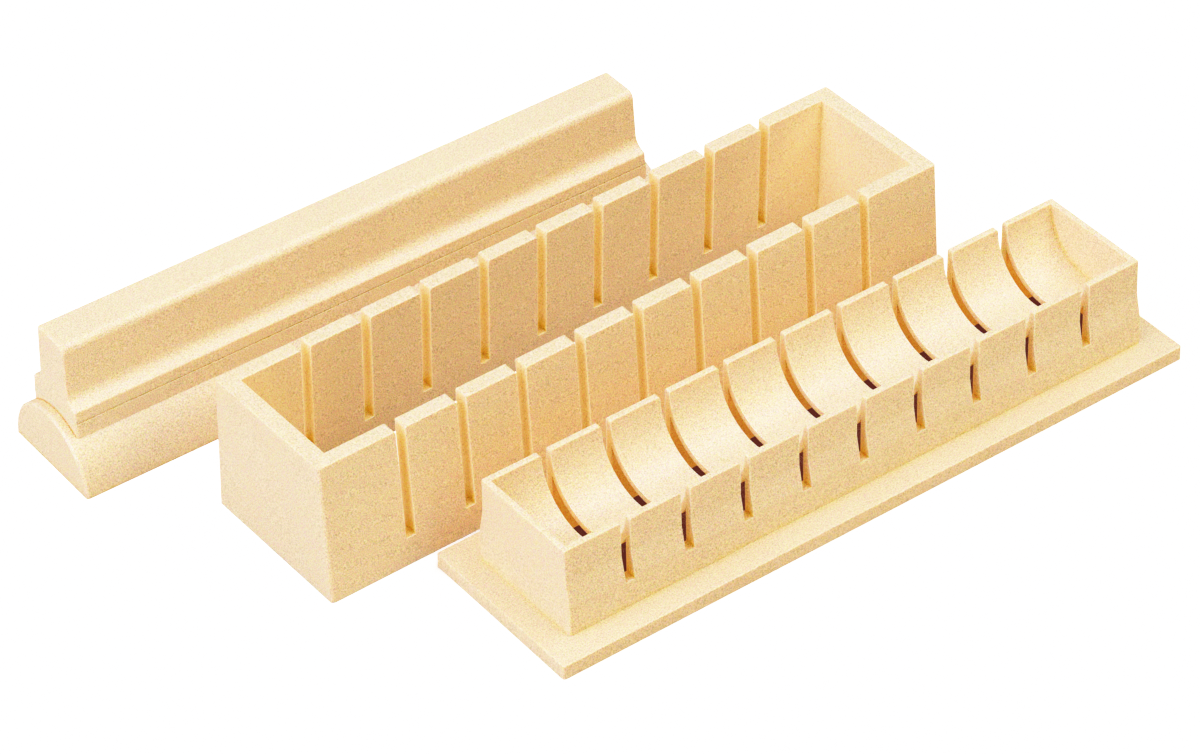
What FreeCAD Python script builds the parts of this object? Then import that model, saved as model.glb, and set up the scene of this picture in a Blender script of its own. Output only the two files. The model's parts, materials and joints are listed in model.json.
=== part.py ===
"""Mould set for pressing and slicing thick sushi rolls, in moulded plastic.

Three loose items stand side by side, their long axes almost parallel to X:
  - the tray, a block with a half-round trough on a wide foot flange,
  - the frame, a slotted box without floor or roof that drops over the tray's block,
  - the press, a half-round lid with a bar handle seated on it, that closes the frame from above.
Sizes are in millimetres, Z is up, and the origin is under the middle of the laid-out set.
"""
import FreeCAD, Part
import math
import os

Vector = FreeCAD.Vector

# The roll and its slices
trough_radius = 16.6
slice_pitch = 20.0
slice_count = 10
knife_slot_width = 3.2
slot_mouth_radius = 0.8

# Tray
rim_wall = 2.1
trough_shell_wall = 2.0
tray_end_wall = 2.0
under_trough_height = 11.8
block_side_draft = 1.0
flare_start_depth = 11.2
flare_end_depth = 18.6
block_flare = 1.52
block_end_draft = 0.5
block_corner_radius = 0.6
rim_edge_radius = 0.4
knife_depth_below_trough = 3.2
hollow_corner_radius = 0.5
flange_height = 4.7
flange_ledge = 8.5
flange_plate_wall = 2.4
flange_skirt_wall = 2.2
flange_corner_radius = 0.9
flange_edge_radius = 0.35

# Frame
frame_above_roll = 0.4
frame_side_wall_top = 4.9
frame_side_wall_foot = 5.5
frame_end_wall = 5.45
frame_end_draft = 0.4
frame_corner_radius = 1.0
frame_edge_radius = 0.4
frame_end_clearance = 0.5
frame_foot_clearance = 1.0
frame_slot_step = 0.5

# Press
press_side_clearance = 0.7
lid_past_block = 0.7
lid_wall = 2.3
lid_end_wall = 2.0
lid_end_chamfer = 0.6
handle_inset = 3.0
handle_draft = 1.8
seat_rise = 1.3
seat_ledge = 0.3
seat_wall = 2.0
handle_corner_radius = 0.8
lip_half_width = 11.1
lip_height = 3.9
lip_edge_radius = 0.7
ledge_slope = 22.0
flare_radius = 3.9
grip_half_width = 6.6
handle_height = 23.6
grip_front_edge_radius = 2.6
grip_back_edge_radius = 0.7
handle_wall = 2.0
handle_inner_edge_radius = 0.3
spine_height = 12.0
spine_wall = 1.8
spine_corner_radius = 0.4
spine_clearance = 0.2

# How the loose items stand on the table
tray_to_frame_gap = 4.5
frame_to_press_gap = 19.1
frame_set_back = 33.2
press_set_back = 67.95
frame_turn = 0.7
press_turn = -0.45

# Cutting tools reach this far past the faces that they open
overshoot = 2.0

# An edge nearer than this to a level or an end counts as lying on it
match_tolerance = 0.01

# Sizes that follow from the driving ones
block_length = slice_count * slice_pitch
block_height = trough_radius + under_trough_height
block_top_width = 2 * (trough_radius + rim_wall)
block_foot_length = block_length + 2 * block_height * math.tan(math.radians(block_end_draft))
side_lean = math.tan(math.radians(block_side_draft))
wall_at_flare_start = block_top_width / 2 + flare_start_depth * side_lean
wall_at_flare_end = wall_at_flare_start + block_flare
block_foot_width = 2 * (wall_at_flare_end + (block_height - flare_end_depth) * side_lean)
flange_length = block_foot_length + 2 * flange_ledge
flange_width = block_foot_width + 2 * flange_ledge
rim_level = flange_height + block_height
tray_slot_floor = rim_level - trough_radius - knife_depth_below_trough

lid_radius = trough_radius + lid_wall
lid_length = block_length + 2 * lid_past_block
seat_level = lid_radius + seat_rise
seat_half_width = lip_half_width + seat_ledge
handle_length = lid_length - 2 * handle_inset
handle_top_length = handle_length - 2 * handle_height * math.tan(math.radians(handle_draft))
grip_top_level = seat_level + handle_height
lip_level = seat_level + lip_height

frame_height = block_height + trough_radius + frame_above_roll
frame_inner_length = lid_length + 2 * frame_end_clearance
frame_inner_top_width = 2 * (lid_radius + press_side_clearance)
frame_inner_foot_width = block_foot_width + 2 * frame_foot_clearance
frame_top_length = frame_inner_length + 2 * frame_end_wall
frame_foot_length = frame_top_length + 2 * frame_height * math.tan(math.radians(frame_end_draft))
frame_top_width = frame_inner_top_width + 2 * frame_side_wall_top
frame_foot_width = frame_inner_foot_width + 2 * frame_side_wall_foot
frame_slot_floor = tray_slot_floor - flange_height + frame_slot_step


def centred_box(length, width, low, high):
    """Box round the Z axis, from one level up to another."""
    return Part.makeBox(length, width, high - low, Vector(-length / 2, -width / 2, low))


def round_corners(block, radius):
    """Round the edges that run up the corners of a block."""
    rising = [edge for edge in block.Edges if edge.BoundBox.ZLength > match_tolerance]
    return block.makeFillet(radius, rising)


def upright_prism(length, width, radius, low, high):
    """Box round the Z axis with rounded upright corners."""
    return round_corners(centred_box(length, width, low, high), radius)


def tapered_block(foot, top, low, high, extra=0.0):
    """Block whose (length, width) runs from foot at low to top at high, and extra beyond both."""
    beyond = extra / (high - low)
    foot_x, foot_y = [(start - (end - start) * beyond) / 2 for start, end in zip(foot, top)]
    top_x, top_y = [(end + (end - start) * beyond) / 2 for start, end in zip(foot, top)]
    block = Part.makeWedge(-foot_x, low - extra, -foot_y, -top_y, -top_x,
                           foot_x, high + extra, foot_y, top_y, top_x)
    block.rotate(Vector(0, 0, 0), Vector(1, 0, 0), 90)
    return block


def arc_through(start, middle, end):
    return Part.Arc(start, middle, end).toShape()


def quarter_point(centre, radius, side_a, side_b, plane):
    """Middle point of a quarter circle, towards (side_a, side_b) from its centre."""
    reach = radius * math.sqrt(0.5)
    return plane(centre[0] + side_a * reach, centre[1] + side_b * reach)


def half_round_bar(radius, length, level, points_up):
    """Half cylinder along X with its flat side at level, carried on past it on the flat side."""
    way = 1 if points_up else -1
    far = level - way * overshoot
    start_x = -length / 2
    corners = [Vector(start_x, -radius, level), Vector(start_x, radius, level)]
    crown = Vector(start_x, 0, level + way * radius)
    tail = [Vector(start_x, radius, far), Vector(start_x, -radius, far)]
    edges = [arc_through(corners[0], crown, corners[1]), Part.makeLine(corners[1], tail[0]),
             Part.makeLine(tail[0], tail[1]), Part.makeLine(tail[1], corners[0])]
    return Part.Face(Part.Wire(edges)).extrude(Vector(length, 0, 0))


def edges_at_level(shape, level, nearest=0.0, farthest=math.inf):
    """Edges in a level plane whose widest point across Y lies between two distances from the middle."""
    found = []
    for edge in shape.Edges:
        box = edge.BoundBox
        flat = abs(box.ZMin - level) < match_tolerance and abs(box.ZMax - level) < match_tolerance
        if flat and nearest < max(-box.YMin, box.YMax) < farthest:
            found.append(edge)
    return found


def end_edges(bar, above):
    """Edges of both end faces of a bar along X that rise above a level."""
    end_faces = sorted(bar.Faces, key=lambda face: abs(face.CenterOfMass.x))[-2:]
    return [edge for face in end_faces for edge in face.Edges
            if edge.BoundBox.ZMax > above + match_tolerance]


def knife_slots(floor, mouth, width_across):
    """One cutter per slot: straight sides, a flat floor, and lips that round over at the mouth."""

    def at(x, z):
        return Vector(x, -width_across / 2, z)

    half = knife_slot_width / 2
    lips = slot_mouth_radius
    top = mouth + overshoot
    sides = []
    for side in (1, -1):
        lip_centre = (side * (half + lips), mouth - lips)
        wall = Part.makeLine(at(side * half, floor), at(side * half, mouth - lips))
        lip = arc_through(at(side * half, mouth - lips),
                          quarter_point(lip_centre, lips, -side, 1, at),
                          at(side * (half + lips), mouth))
        riser = Part.makeLine(at(side * (half + lips), mouth), at(side * (half + lips), top))
        sides += [wall, lip, riser]
    bottom = Part.makeLine(at(-half, floor), at(half, floor))
    cover = Part.makeLine(at(-half - lips, top), at(half + lips, top))
    outline = Part.Wire(Part.__sortEdges__(sides + [bottom, cover]))
    cutter = Part.Face(outline).extrude(Vector(0, width_across, 0))
    cutters = []
    for number in range(1, slice_count):
        copy = cutter.copy()
        copy.translate(Vector(number * slice_pitch - block_length / 2, 0, 0))
        cutters.append(copy)
    return cutters


def make_block():
    """The tray's outer body: long walls in three runs that step out towards the foot, and drafted ends."""
    flare_top = rim_level - flare_start_depth
    flare_foot = rim_level - flare_end_depth
    right = [(block_foot_width / 2, flange_height), (wall_at_flare_end, flare_foot),
             (wall_at_flare_start, flare_top), (block_top_width / 2, rim_level)]
    left = [(-y, z) for y, z in reversed(right)]
    outline = [Vector(-flange_length / 2, y, z) for y, z in right + left + right[:1]]
    walls = Part.Face(Part.makePolygon(outline)).extrude(Vector(flange_length, 0, 0))
    ends = tapered_block((block_foot_length, flange_width), (block_length, flange_width),
                         flange_height, rim_level)
    return round_corners(walls.common(ends), block_corner_radius)


def make_tray():
    """Block with a trough in thin shell walls, hollow from below, on a skirted flange."""
    flange = upright_prism(flange_length, flange_width, flange_corner_radius, 0, flange_height)
    tray = flange.fuse(make_block()).removeSplitter()
    middle_of_ledge = (block_foot_width + flange_ledge) / 2
    tray = tray.makeFillet(flange_edge_radius,
                           edges_at_level(tray, flange_height, nearest=middle_of_ledge))

    trough_length = block_length - 2 * tray_end_wall
    tray = tray.cut(half_round_bar(trough_radius, trough_length, rim_level, False))
    tray = tray.makeFillet(rim_edge_radius, edges_at_level(tray, rim_level))

    inner_foot = (block_foot_length - 2 * tray_end_wall, 2 * trough_radius)
    inner_top = (trough_length, 2 * trough_radius)
    hollow = tapered_block(inner_foot, inner_top, flange_height, rim_level, flange_height + overshoot)
    shell = half_round_bar(trough_radius + trough_shell_wall, flange_length, rim_level, False)
    above_rim = centred_box(flange_length, flange_width, rim_level, 2 * rim_level)
    hollow = round_corners(hollow, hollow_corner_radius).cut(above_rim).cut(shell)
    recess = upright_prism(flange_length - 2 * flange_skirt_wall, flange_width - 2 * flange_skirt_wall,
                           flange_corner_radius / 2, -overshoot, flange_height - flange_plate_wall)
    tray = tray.cut(hollow.fuse(recess))
    return tray.cut(knife_slots(tray_slot_floor, rim_level, flange_width))


def make_frame():
    """Box without floor or roof, wider at the foot, its long walls slotted for the knife."""
    outside = tapered_block((frame_foot_length, frame_foot_width), (frame_top_length, frame_top_width),
                            0, frame_height)
    inside = tapered_block((frame_inner_length, frame_inner_foot_width),
                           (frame_inner_length, frame_inner_top_width),
                           0, frame_height, overshoot)
    frame = round_corners(outside, frame_corner_radius).cut(inside)
    frame = frame.makeFillet(frame_edge_radius, edges_at_level(frame, frame_height))
    return frame.cut(knife_slots(frame_slot_floor, frame_height, frame_foot_width + 2 * overshoot))


def make_press_lid():
    """Half-round shell with closed ends, and the seat and spine that carry the handle."""
    bar = half_round_bar(lid_radius, lid_length, 0, True)
    lid = bar.cut(centred_box(lid_length, 2 * lid_radius, -overshoot, 0))
    lid = lid.makeChamfer(lid_end_chamfer, end_edges(lid, 0))

    seat = upright_prism(handle_length, 2 * seat_half_width, handle_corner_radius, 0, seat_level)
    pocket = upright_prism(handle_length - 2 * seat_wall, 2 * (seat_half_width - seat_wall),
                           handle_corner_radius / 2, -overshoot, seat_level + overshoot)
    spine_length = handle_top_length - 2 * (handle_wall + spine_clearance)
    spine_width = 2 * (grip_half_width - handle_wall - spine_clearance)
    spine = upright_prism(spine_length, spine_width, spine_corner_radius, 0, seat_level + spine_height)
    core = upright_prism(spine_length - 2 * spine_wall, spine_width - 2 * spine_wall, spine_corner_radius,
                         lid_radius, seat_level + spine_height + overshoot)
    lid = lid.fuse(seat.cut(pocket)).fuse(spine).cut(core)

    mould_length = lid_length - 2 * lid_end_wall
    mould = half_round_bar(trough_radius, mould_length, 0, True)
    return lid.cut(mould).removeSplitter()


def rounded_outline(corners, radii):
    """Edges of an open outline, each corner between its two ends rounded by its own radius."""
    edges = []
    reached = corners[0]
    for before, corner, after, radius in zip(corners, corners[1:], corners[2:], radii):
        back = (before - corner).normalize()
        onward = (after - corner).normalize()
        half_angle = back.getAngle(onward) / 2
        room = radius / math.tan(half_angle)
        middle = (back + onward).normalize() * (radius / math.sin(half_angle) - radius)
        edges.append(Part.makeLine(reached, corner + back * room))
        edges.append(arc_through(corner + back * room, corner + middle, corner + onward * room))
        reached = corner + onward * room
    edges.append(Part.makeLine(reached, corners[-1]))
    return edges


def handle_corners(low, inset):
    """Sharp corners (y, z) of the handle's right half from its mouth up, its walls moved in by inset."""
    lean = math.tan(math.radians(handle_draft))
    slope = math.tan(math.radians(ledge_slope))
    lip = lip_half_width - inset
    top = grip_top_level - inset
    side_at_table = grip_half_width - inset * math.hypot(1, lean) + grip_top_level * lean
    ledge_at_lip = lip_level - inset * math.hypot(1, slope)
    crease = (ledge_at_lip + (lip_half_width - side_at_table) * slope) / (1 - lean * slope)
    return [(lip, low), (lip, ledge_at_lip + inset * slope),
            (side_at_table - crease * lean, crease), (side_at_table - top * lean, top)]


def handle_bar(low, inset, length):
    """Bar along X with the handle's section, from a level up, its front top edge rounder than its back one."""

    def eased(radius):
        return max(radius - inset, handle_inner_edge_radius)

    half = handle_corners(low, inset)
    start_x = -length / 2
    corners = [Vector(start_x, -y, z) for y, z in half] + [Vector(start_x, y, z) for y, z in reversed(half)]
    radii = [eased(lip_edge_radius), flare_radius, eased(grip_front_edge_radius),
             eased(grip_back_edge_radius), flare_radius, eased(lip_edge_radius)]
    outline = rounded_outline(corners, radii) + [Part.makeLine(corners[-1], corners[0])]
    return Part.Face(Part.Wire(outline)).extrude(Vector(length, 0, 0))


def make_press_handle():
    """Hollow bar handle, open below, with drafted ends, flared out to a lip that sits on the lid's seat."""
    width = 2 * seat_half_width
    ends = tapered_block((handle_length, width), (handle_top_length, width),
                         seat_level, grip_top_level, overshoot)
    handle = handle_bar(seat_level, 0, lid_length).common(ends)
    handle = handle.makeFillet(handle_corner_radius, end_edges(handle, seat_level))
    inside = handle_bar(seat_level - overshoot, handle_wall, handle_top_length - 2 * handle_wall)
    return handle.cut(inside)


def turned_reach(length, width, turn):
    """Half the room along X and along Y that a rectangle takes once it is turned."""
    angle = math.radians(abs(turn))
    reach_x = length / 2 * math.cos(angle) + width / 2 * math.sin(angle)
    reach_y = length / 2 * math.sin(angle) + width / 2 * math.cos(angle)
    return reach_x, reach_y


def layout():
    """Middle and turn of each item, with the origin under the middle of the whole set."""
    tray_reach = turned_reach(flange_length, flange_width, 0)
    frame_reach = turned_reach(frame_foot_length, frame_foot_width, frame_turn)
    press_reach = turned_reach(lid_length, 2 * lid_radius, press_turn)
    frame_y = tray_reach[1] + tray_to_frame_gap + frame_reach[1]
    press_y = frame_y + frame_reach[1] + frame_to_press_gap + press_reach[1]
    places = {"tray": (0, 0, 0, tray_reach),
              "frame": (-frame_set_back, frame_y, frame_turn, frame_reach),
              "press": (-press_set_back, press_y, press_turn, press_reach)}
    spans_x = [(x - reach[0], x + reach[0]) for x, y, turn, reach in places.values()]
    spans_y = [(y - reach[1], y + reach[1]) for x, y, turn, reach in places.values()]
    middle_x = (min(low for low, high in spans_x) + max(high for low, high in spans_x)) / 2
    middle_y = (min(low for low, high in spans_y) + max(high for low, high in spans_y)) / 2
    return {item: (x - middle_x, y - middle_y, turn) for item, (x, y, turn, reach) in places.items()}


def stand(shape, place):
    """Turn an item about its own upright middle line, then move it to its place on the table."""
    x, y, turn = place
    placed = shape.copy()
    placed.rotate(Vector(0, 0, 0), Vector(0, 0, 1), turn)
    placed.translate(Vector(x, y, 0))
    return placed


def main():
    places = layout()
    parts = {
        "base_tray": stand(make_tray(), places["tray"]),
        "slotted_frame": stand(make_frame(), places["frame"]),
        "press_lid": stand(make_press_lid(), places["press"]),
        "press_handle": stand(make_press_handle(), places["press"]),
    }
    os.makedirs("parts", exist_ok=True)
    for name, shape in parts.items():
        shape.exportStep(os.path.join("parts", name + ".step"))
        box = shape.BoundBox
        print(name, "solids", len(shape.Solids), "valid", shape.isValid(), "volume", round(shape.Volume, 1),
              "x", round(box.XMin, 2), round(box.XMax, 2), "y", round(box.YMin, 2), round(box.YMax, 2),
              "z", round(box.ZMin, 2), round(box.ZMax, 2))


main()
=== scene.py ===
import json
import math

import bmesh
import bpy
from mathutils import Matrix, Vector


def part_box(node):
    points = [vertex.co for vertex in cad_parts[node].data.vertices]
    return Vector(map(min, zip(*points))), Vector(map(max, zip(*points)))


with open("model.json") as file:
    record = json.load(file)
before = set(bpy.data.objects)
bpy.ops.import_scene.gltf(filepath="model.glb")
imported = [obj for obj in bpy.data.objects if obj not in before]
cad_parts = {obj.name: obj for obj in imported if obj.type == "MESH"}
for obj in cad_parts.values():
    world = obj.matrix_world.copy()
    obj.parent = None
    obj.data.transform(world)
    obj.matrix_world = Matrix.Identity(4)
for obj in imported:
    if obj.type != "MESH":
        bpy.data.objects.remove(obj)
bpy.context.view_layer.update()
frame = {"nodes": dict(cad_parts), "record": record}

MILLIMETRE = 0.001
BLACK = (0.0, 0.0, 0.0, 1.0)

# Camera: a long lens that looks down along the set from its near left corner
CAMERA_AZIMUTH = -35.654
CAMERA_ELEVATION = 39.162
CAMERA_ROLL = -1.658
CAMERA_LENS = 144.854
CAMERA_SENSOR = 36.0
CAMERA_DISTANCE = 1368.78 * MILLIMETRE
AIM_FROM_TRAY_CENTRE = Vector((-25.64, 66.53, 0.0)) * MILLIMETRE

# Floor: the camera sees it nearly white, with painted shade where the hollow tray covers it,
# and the set gets a warm bounce from it
FLOOR_SIZE = 8.0
FLOOR_GAP = 0.05 * MILLIMETRE
FLOOR_SEEN = (2.0, 2.0, 2.0, 1.0)
FLOOR_PAINTED_SHADE = (0.12, 0.036, 0.026, 1.0)
FLOOR_BOUNCE = (0.60, 0.49, 0.38, 1.0)
COVER_REACH = 40.0 * MILLIMETRE
COVERED_UNTIL = 0.26
OPEN_FROM = 0.38

# Room: plain white behind the set, and a softer warm white as its light
ROOM_SEEN = (1.8, 1.8, 1.8, 1.0)
ROOM_LIGHT = 0.46
ROOM_COLOUR = (1.0, 0.90, 0.72, 1.0)

# Softboxes, in metres and watts, each in its direction from the point that the camera looks at
SOFTBOXES = {
    "key_softbox": {
        "toward": (-0.72, 0.0, 0.95),
        "distance": 1.5,
        "size": 1.1,
        "power": 10.4,
        "colour": (0.99, 1.0, 1.08),
    },
    "front_fill": {
        "toward": (0.35, -0.90, 0.80),
        "distance": 2.6,
        "size": 0.9,
        "power": 12.0,
        "colour": (1.0, 0.78, 0.36),
    },
    "top_sheen": {
        "toward": (0.40, -0.15, 0.90),
        "distance": 1.4,
        "size": 0.9,
        "power": 6.4,
        "colour": (0.97, 1.0, 1.14),
    },
    "left_fill": {
        "toward": (-0.95, -0.08, 0.30),
        "distance": 1.3,
        "size": 0.8,
        "power": 4.0,
        "colour": (0.96, 1.03, 1.35),
    },
}

# Print: a film-like curve that rolls the highlights off and deepens the shade
PRINT_DENSITY = 2.85
PRINT_CONTRAST = 1.5
PRINT_WHITE = 2.0
PRINT_STEPS = 12
PRINT_SPACING = 1.5

# Ivory resin, linear colours
BODY = (0.87, 0.665, 0.46, 1.0)
# Painted golden shade in folds and crevices
FOLD_SHADE = (0.88, 0.61, 0.045, 1.0)
# Pale of rubbed edges, also a painted highlight along them
PALE_WEAR_AND_HIGHLIGHT = (0.97, 0.90, 0.74, 1.0)
# Painted shade in the seam between the lid and the handle
SEAM_SHADE = (0.74, 0.42, 0.15, 1.0)

# Ivory resin, how light goes into it and off it
RESIN_IOR = 1.49
RESIN_SHEEN = 0.9
MILKINESS = 0.8
MILKY_COLOURS = (1.0, 0.55, 0.2)
MILKY_DEPTH = 1.6 * MILLIMETRE
# Strength of the painted glow, an emission standing in for light through thin walls
PAINTED_GLOW_STRENGTH = 1.0

# Where the resin folds in and where the lid and the handle meet (painted shade), and where walls
# enclose it (painted glow): how far each mask looks, and the openness at which it begins and is
# full
FOLD_REACH = 5.0 * MILLIMETRE
FOLD_BEGINS = 0.60
FOLD_FULL = 0.36
SEAM_REACH = 0.8 * MILLIMETRE
SEAM_BEGINS = 0.88
SEAM_FULL = 0.60
ENCLOSED_REACH = 40.0 * MILLIMETRE

# Grain and clouds of tone
GRAIN_SIZE = 0.34 * MILLIMETRE
GRAIN_STRENGTH = 0.85
GRAIN_TINT = 0.45
GRAIN_HEIGHT = 0.07 * MILLIMETRE
CLOUD_SIZE = 42.0 * MILLIMETRE
CLOUD_STRENGTH = 0.10

# Rubbed edges: pale wear and painted highlight on rounded edges, whatever the light
EDGE_RADIUS = 0.5 * MILLIMETRE
RUB_STRAIGHT = 0.995
RUB_TURNED = 0.86
RUB_PATCH_SIZE = 6.0 * MILLIMETRE
RUB_PATCH_NOISE = (0.35, 0.6)
RUB_PATCHINESS = 0.35
WEAR_AND_HIGHLIGHT_PALENESS = 0.9
RUB_POLISH = 0.12

# Hairline scratches, long in one direction and turned two ways
HAIRLINE_LENGTH = 14.0 * MILLIMETRE
HAIRLINE_SLIMNESS = 22.0
HAIRLINE_RARITY = 0.62
HAIRLINE_FULL = 0.78
HAIRLINE_TURNS = ((0.3, 0.1, 0.5), (-0.2, 0.4, -0.9))
HAIRLINE_DEPTH = 0.5
HAIRLINE_DULLNESS = 0.08

# Roughness, which follows the clouds from the first noise value to the second
CLOUD_NOISE = (0.3, 0.7)
ROUGHNESS = (0.32, 0.40)


# --- node helpers -----------------------------------------------------------


def node_group(name, inputs, outputs):
    """An empty shader node group with these sockets, its tree, and its input and output nodes."""
    tree = bpy.data.node_groups.new(name, "ShaderNodeTree")
    for label, kind, value in inputs:
        socket = tree.interface.new_socket(name=label, in_out="INPUT", socket_type=kind)
        socket.default_value = value
    for label, kind in outputs:
        tree.interface.new_socket(name=label, in_out="OUTPUT", socket_type=kind)
    return tree, tree.nodes.new("NodeGroupInput"), tree.nodes.new("NodeGroupOutput")


def add_node(tree, kind, settings=None, **values):
    """A node with its settings and the values of its named input sockets."""
    node = tree.nodes.new(kind)
    for label, value in (settings or {}).items():
        setattr(node, label, value)
    for label, value in values.items():
        node.inputs[label.replace("_", " ")].default_value = value
    return node


def feed(tree, socket, source):
    """Gives an input socket a value, or the output socket that feeds it."""
    if isinstance(source, bpy.types.NodeSocket):
        tree.links.new(source, socket)
    else:
        socket.default_value = source


def math_node(tree, operation, *operands):
    """A Math node. Each operand is a number or the output socket that feeds it."""
    node = add_node(tree, "ShaderNodeMath", {"operation": operation})
    for socket, operand in zip(node.inputs, operands):
        feed(tree, socket, operand)
    return node.outputs[0]


def mix_colours(tree, factor, first, second, blend="MIX"):
    """A colour Mix node. Factor, first and second are values or the sockets that feed them."""
    node = add_node(tree, "ShaderNodeMix", {"data_type": "RGBA", "blend_type": blend})
    wanted = {"Factor_Float": factor, "A_Color": first, "B_Color": second}
    for socket in node.inputs:
        if socket.identifier in wanted:
            feed(tree, socket, wanted[socket.identifier])
    return next(s for s in node.outputs if s.identifier == "Result_Color")


def map_range(tree, source, low, high, to_low=0.0, to_high=1.0):
    """A clamped, smooth Map Range node from low..high to to_low..to_high."""
    node = add_node(tree, "ShaderNodeMapRange", {"interpolation_type": "SMOOTHSTEP"})
    limits = {"From Min": low, "From Max": high, "To Min": to_low, "To Max": to_high}
    for label, value in limits.items():
        feed(tree, node.inputs[label], value)
    tree.links.new(source, node.inputs["Value"])
    return node.outputs["Result"]


def noise(tree, place, size, detail, roughness):
    """A Noise Texture node with features of this size."""
    node = add_node(tree, "ShaderNodeTexNoise", Detail=detail, Roughness=roughness)
    tree.links.new(place, node.inputs["Vector"])
    tree.links.new(math_node(tree, "DIVIDE", 1.0, size), node.inputs["Scale"])
    return node


def openness(tree, reach, samples, own_piece_only=False):
    """How open a point is, from 0 in a closed pocket to 1, as far as this reach."""
    settings = {"samples": samples, "only_local": own_piece_only}
    return add_node(tree, "ShaderNodeAmbientOcclusion", settings, Distance=reach).outputs["AO"]


def group_node(tree, group, **values):
    """A node group placed in a tree with its own values."""
    return add_node(tree, "ShaderNodeGroup", {"node_tree": group}, **values)


# --- effects that every moulding shares --------------------------------------


def make_resin_grain():
    """Moulded resin: coloured grain over slow clouds of tone, with the two as masks."""
    tree, given, out = node_group(
        "resin_grain",
        [
            ("Color", "NodeSocketColor", BODY),
            ("Grain Size", "NodeSocketFloat", GRAIN_SIZE),
            ("Cloud Size", "NodeSocketFloat", CLOUD_SIZE),
            ("Grain", "NodeSocketFloat", GRAIN_STRENGTH),
            ("Clouds", "NodeSocketFloat", CLOUD_STRENGTH),
        ],
        [("Color", "NodeSocketColor"), ("Grain", "NodeSocketFloat"), ("Clouds", "NodeSocketFloat")],
    )
    place = tree.nodes.new("ShaderNodeTexCoord").outputs["Object"]
    fine = noise(tree, place, given.outputs["Grain Size"], detail=1.0, roughness=0.6)
    slow = noise(tree, place, given.outputs["Cloud Size"], detail=3.0, roughness=0.55)
    tinted = mix_colours(tree, GRAIN_TINT, fine.outputs["Fac"], fine.outputs["Color"])
    speckled = mix_colours(
        tree, given.outputs["Grain"], given.outputs["Color"], tinted, "LINEAR_LIGHT"
    )
    around_none = math_node(tree, "SUBTRACT", slow.outputs["Fac"], 0.5)
    depth = math_node(tree, "MULTIPLY", around_none, given.outputs["Clouds"])
    gain = math_node(tree, "ADD", depth, 1.0)
    grey = add_node(tree, "ShaderNodeCombineColor")
    for channel in ("Red", "Green", "Blue"):
        tree.links.new(gain, grey.inputs[channel])
    toned = mix_colours(tree, 1.0, speckled, grey.outputs["Color"], "MULTIPLY")
    tree.links.new(toned, out.inputs["Color"])
    tree.links.new(fine.outputs["Fac"], out.inputs["Grain"])
    tree.links.new(slow.outputs["Fac"], out.inputs["Clouds"])
    return tree


def make_worn_and_highlit_edge():
    """Mask of the rounded edges, where handling rubs the resin smooth and pale, patchily, and where
    the pale also stands in for painted highlights.
    """
    tree, given, out = node_group(
        "worn_and_highlit_edge",
        [
            ("Patchiness", "NodeSocketFloat", RUB_PATCHINESS),
            ("Patch Size", "NodeSocketFloat", RUB_PATCH_SIZE),
        ],
        [("Edge", "NodeSocketFloat")],
    )
    rounded = add_node(tree, "ShaderNodeBevel", {"samples": 6}, Radius=EDGE_RADIUS)
    true_normal = tree.nodes.new("ShaderNodeNewGeometry").outputs["True Normal"]
    turn = add_node(tree, "ShaderNodeVectorMath", {"operation": "DOT_PRODUCT"})
    tree.links.new(rounded.outputs["Normal"], turn.inputs[0])
    tree.links.new(true_normal, turn.inputs[1])
    bent = map_range(tree, turn.outputs["Value"], RUB_STRAIGHT, RUB_TURNED)
    place = tree.nodes.new("ShaderNodeTexCoord").outputs["Object"]
    patches = noise(tree, place, given.outputs["Patch Size"], detail=4.0, roughness=0.6)
    worn = map_range(tree, patches.outputs["Fac"], *RUB_PATCH_NOISE)
    spared = math_node(tree, "SUBTRACT", 1.0, worn)
    lost = math_node(tree, "MULTIPLY", spared, given.outputs["Patchiness"])
    kept = math_node(tree, "SUBTRACT", 1.0, lost)
    tree.links.new(math_node(tree, "MULTIPLY", bent, kept), out.inputs["Edge"])
    return tree


def make_hairlines():
    """Mask of very faint scratches from cutting boards and washing."""
    tree, given, out = node_group(
        "hairlines",
        [
            ("Length", "NodeSocketFloat", HAIRLINE_LENGTH),
            ("Rarity", "NodeSocketFloat", HAIRLINE_RARITY),
        ],
        [("Scratch", "NodeSocketFloat")],
    )
    place = tree.nodes.new("ShaderNodeTexCoord").outputs["Object"]
    stretch = (1.0, HAIRLINE_SLIMNESS, HAIRLINE_SLIMNESS)
    marks = []
    for turned in HAIRLINE_TURNS:
        mapping = add_node(tree, "ShaderNodeMapping", Rotation=turned, Scale=stretch)
        tree.links.new(place, mapping.inputs["Vector"])
        streak = noise(
            tree, mapping.outputs["Vector"], given.outputs["Length"], detail=2.0, roughness=0.5
        )
        marks.append(
            map_range(tree, streak.outputs["Fac"], given.outputs["Rarity"], HAIRLINE_FULL)
        )
    tree.links.new(math_node(tree, "MAXIMUM", *marks), out.inputs["Scratch"])
    return tree


# --- ivory resin --------------------------------------------------------------


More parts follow.
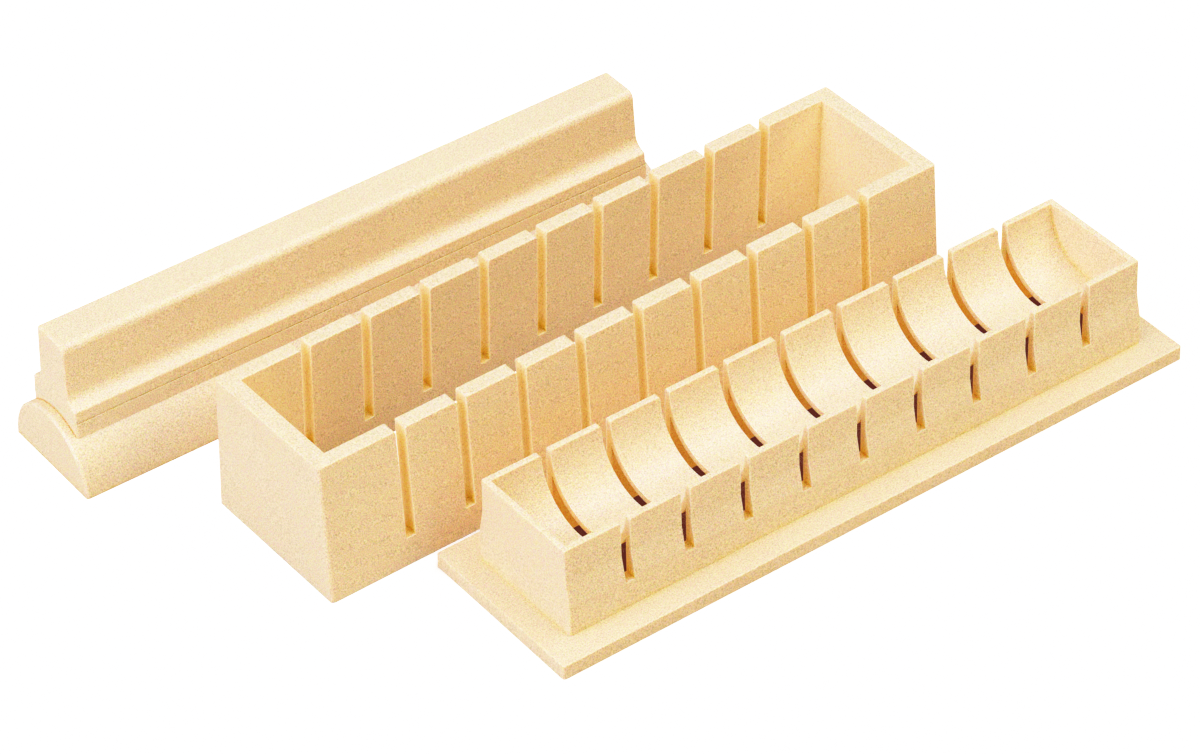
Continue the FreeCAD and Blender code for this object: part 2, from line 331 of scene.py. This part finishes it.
def ivory_resin(name, effects, cloud_size, painted_glow, glow_begins, glow_full, glows_alone, has_seam):
    """Satin ivory moulding: grain over clouds, painted golden shade in folds, and on rounded edges
    pale and smooth, which is rubbed wear and painted highlight.

    Glow is painted light: an emission that stands in for the light coming through thin walls where
    they enclose a hollow. It begins and is full at these values of openness, which counts only the
    piece's own walls if it glows alone. A piece with a seam also gets a thin brown line of painted
    shade where it meets its neighbour.
    """
    grain_group, edge_group, scratch_group = effects
    material = bpy.data.materials.new(name)
    material.use_nodes = True
    tree = material.node_tree
    shader = tree.nodes["Principled BSDF"]
    shader.inputs["IOR"].default_value = RESIN_IOR
    shader.inputs["Subsurface Weight"].default_value = MILKINESS
    shader.inputs["Subsurface Radius"].default_value = MILKY_COLOURS
    shader.inputs["Subsurface Scale"].default_value = MILKY_DEPTH
    shader.inputs["Specular IOR Level"].default_value = RESIN_SHEEN

    # Painted shade: the colour turns golden in folds and crevices, whatever the light
    crowding = openness(tree, FOLD_REACH, samples=8, own_piece_only=not has_seam)
    fold_shade = map_range(tree, crowding, FOLD_BEGINS, FOLD_FULL)
    toned = mix_colours(tree, fold_shade, BODY, FOLD_SHADE)

    # Painted glow: an emission where walls enclose a hollow, standing in for light through them
    shelter = openness(tree, ENCLOSED_REACH, samples=6, own_piece_only=glows_alone)
    sheltered = map_range(tree, shelter, glow_begins, glow_full)
    # Painted shade: a thin brown line where the piece meets its neighbour
    if has_seam:
        gap = openness(tree, SEAM_REACH, samples=8)
        seam_shade = map_range(tree, gap, SEAM_BEGINS, SEAM_FULL)
        toned = mix_colours(tree, seam_shade, toned, SEAM_SHADE)
        fold_shade = math_node(tree, "MAXIMUM", fold_shade, seam_shade)
    flat = math_node(tree, "SUBTRACT", 1.0, fold_shade)
    painted_glow_mask = math_node(tree, "MULTIPLY", sheltered, flat)
    tree.links.new(mix_colours(tree, painted_glow_mask, BLACK, painted_glow), shader.inputs["Emission Color"])
    shader.inputs["Emission Strength"].default_value = PAINTED_GLOW_STRENGTH

    # Painted highlight and wear: rounded edges turn pale whatever the light
    edge = group_node(tree, edge_group, Patchiness=RUB_PATCHINESS).outputs["Edge"]
    edge = math_node(tree, "MULTIPLY", edge, flat)
    edged = mix_colours(tree, math_node(tree, "MULTIPLY", edge, WEAR_AND_HIGHLIGHT_PALENESS), toned, PALE_WEAR_AND_HIGHLIGHT)

    grain = group_node(
        tree, grain_group, Grain=GRAIN_STRENGTH, Clouds=CLOUD_STRENGTH, Cloud_Size=cloud_size
    )
    tree.links.new(edged, grain.inputs["Color"])
    tree.links.new(grain.outputs["Color"], shader.inputs["Base Color"])

    scratch = group_node(tree, scratch_group).outputs["Scratch"]
    rough = map_range(tree, grain.outputs["Clouds"], *CLOUD_NOISE, *ROUGHNESS)
    dulled = math_node(tree, "MULTIPLY", scratch, HAIRLINE_DULLNESS)
    rough = math_node(tree, "ADD", rough, dulled)
    polished = math_node(tree, "MULTIPLY", edge, RUB_POLISH)
    rough = math_node(tree, "SUBTRACT", rough, polished)
    tree.links.new(rough, shader.inputs["Roughness"])

    cut_in = math_node(tree, "MULTIPLY", scratch, HAIRLINE_DEPTH)
    height = math_node(tree, "SUBTRACT", grain.outputs["Grain"], cut_in)
    bump = add_node(tree, "ShaderNodeBump", Strength=1.0, Distance=GRAIN_HEIGHT)
    tree.links.new(height, bump.inputs["Height"])
    tree.links.new(bump.outputs["Normal"], shader.inputs["Normal"])
    return material


effects = (make_resin_grain(), make_worn_and_highlit_edge(), make_hairlines())
finishes = {
    "tray_plastic": ivory_resin(
        "tray_ivory",
        effects,
        cloud_size=CLOUD_SIZE,
        painted_glow=(0.23, 0.11, 0.012, 1.0),
        glow_begins=0.30,
        glow_full=0.08,
        glows_alone=False,
        has_seam=False,
    ),
    "frame_plastic": ivory_resin(
        "frame_ivory",
        effects,
        cloud_size=CLOUD_SIZE * 1.3,
        painted_glow=(0.17, 0.105, 0.04, 1.0),
        glow_begins=0.95,
        glow_full=0.62,
        glows_alone=True,
        has_seam=False,
    ),
    "press_plastic": ivory_resin(
        "press_ivory",
        effects,
        cloud_size=CLOUD_SIZE * 0.8,
        painted_glow=(0.08, 0.04, 0.01, 1.0),
        glow_begins=0.60,
        glow_full=0.20,
        glows_alone=False,
        has_seam=True,
    ),
}
for part in frame["record"]["subparts"]:
    for slot in frame["nodes"][part["node"]].material_slots:
        slot.material = finishes[part["material_slot"]]


# --- studio -----------------------------------------------------------------


def seen_or_lighting(tree, seen, lighting):
    """One shader for what the camera sees, and another for the light that the set gets."""
    choice = tree.nodes.new("ShaderNodeMixShader")
    camera_ray = tree.nodes.new("ShaderNodeLightPath").outputs["Is Camera Ray"]
    tree.links.new(camera_ray, choice.inputs[0])
    tree.links.new(lighting.outputs[0], choice.inputs[1])
    tree.links.new(seen.outputs[0], choice.inputs[2])
    return choice.outputs[0]


def lay_floor():
    """A wide pale floor just under the set, with painted shade where the tray covers it."""
    mesh = bpy.data.meshes.new("studio_floor")
    sheet = bmesh.new()
    bmesh.ops.create_grid(sheet, x_segments=1, y_segments=1, size=FLOOR_SIZE / 2)
    bmesh.ops.translate(sheet, verts=sheet.verts, vec=(0.0, 0.0, -FLOOR_GAP))
    sheet.to_mesh(mesh)
    sheet.free()
    floor = bpy.data.objects.new("studio_floor", mesh)
    bpy.context.collection.objects.link(floor)
    material = bpy.data.materials.new("pale_floor")
    material.use_nodes = True
    tree = material.node_tree
    tree.nodes.remove(tree.nodes["Principled BSDF"])
    # Painted shade: a dark emission where the tray covers the floor
    cover = openness(tree, COVER_REACH, samples=16)
    open_air = map_range(tree, cover, COVERED_UNTIL, OPEN_FROM)
    lit = add_node(tree, "ShaderNodeBsdfDiffuse", Color=FLOOR_SEEN)
    shade = add_node(tree, "ShaderNodeEmission", Color=FLOOR_PAINTED_SHADE)
    seen = tree.nodes.new("ShaderNodeMixShader")
    tree.links.new(open_air, seen.inputs[0])
    tree.links.new(shade.outputs[0], seen.inputs[1])
    tree.links.new(lit.outputs[0], seen.inputs[2])
    bounce = add_node(tree, "ShaderNodeBsdfDiffuse", Color=FLOOR_BOUNCE)
    surface = seen_or_lighting(tree, seen, bounce)
    tree.links.new(surface, tree.nodes["Material Output"].inputs["Surface"])
    mesh.materials.append(material)


def light_room():
    """A white room around the set."""
    world = bpy.data.worlds.new("white_room")
    bpy.context.scene.world = world
    world.use_nodes = True
    tree = world.node_tree
    tree.nodes.clear()
    seen = add_node(tree, "ShaderNodeBackground", Color=ROOM_SEEN, Strength=1.0)
    light = add_node(tree, "ShaderNodeBackground", Color=ROOM_COLOUR, Strength=ROOM_LIGHT)
    out = tree.nodes.new("ShaderNodeOutputWorld")
    tree.links.new(seen_or_lighting(tree, seen, light), out.inputs["Surface"])


def hang_softbox(name, aim, toward, distance, size, power, colour):
    """A square softbox that looks at aim from the direction toward."""
    lamp = bpy.data.lights.new(name, "AREA")
    lamp.shape = "SQUARE"
    lamp.size = size
    lamp.energy = power
    lamp.color = colour
    lamp.use_shadow = True
    box = bpy.data.objects.new(name, lamp)
    bpy.context.collection.objects.link(box)
    direction = Vector(toward).normalized()
    box.location = aim + direction * distance
    box.rotation_mode = "QUATERNION"
    box.rotation_quaternion = direction.to_track_quat("Z", "Y")


def set_camera():
    """The camera, turned by its azimuth, elevation and roll. Returns the point that it looks at."""
    azimuth, elevation, roll = (
        math.radians(angle) for angle in (CAMERA_AZIMUTH, CAMERA_ELEVATION, CAMERA_ROLL)
    )
    back = Vector(
        (
            math.sin(azimuth) * math.cos(elevation),
            -math.cos(azimuth) * math.cos(elevation),
            math.sin(elevation),
        )
    )
    level = Vector((math.cos(azimuth), math.sin(azimuth), 0.0))
    upright = back.cross(level)
    right = level * math.cos(roll) + upright * math.sin(roll)
    up = upright * math.cos(roll) - level * math.sin(roll)
    low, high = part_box("base_tray")
    centre = (Vector(low) + Vector(high)) / 2
    aim = Vector((centre.x, centre.y, 0.0)) + AIM_FROM_TRAY_CENTRE
    lens = bpy.data.cameras.new("camera")
    lens.lens = CAMERA_LENS
    lens.sensor_width = CAMERA_SENSOR
    lens.sensor_fit = "HORIZONTAL"
    camera = bpy.data.objects.new("camera", lens)
    bpy.context.collection.objects.link(camera)
    turned = Matrix((right, up, back)).transposed().to_4x4()
    camera.matrix_world = Matrix.Translation(aim + back * CAMERA_DISTANCE) @ turned
    bpy.context.scene.camera = camera
    return aim


def print_like_film():
    """The colour curve of a print: bright cream pales and shade stays golden."""
    view = bpy.context.scene.view_settings
    view.view_transform = "Standard"
    view.use_curve_mapping = True
    mapping = view.curve_mapping
    mapping.white_level = (PRINT_WHITE,) * 3
    combined = mapping.curves[3]
    for step in range(1, PRINT_STEPS):
        share = (step / PRINT_STEPS) ** PRINT_SPACING
        light = share * PRINT_WHITE
        combined.points.new(share, 1.0 - math.exp(-PRINT_DENSITY * light**PRINT_CONTRAST))
    mapping.update()


aim = set_camera()
lay_floor()
light_room()
for name, softbox in SOFTBOXES.items():
    hang_softbox(name, aim, **softbox)
print_like_film()
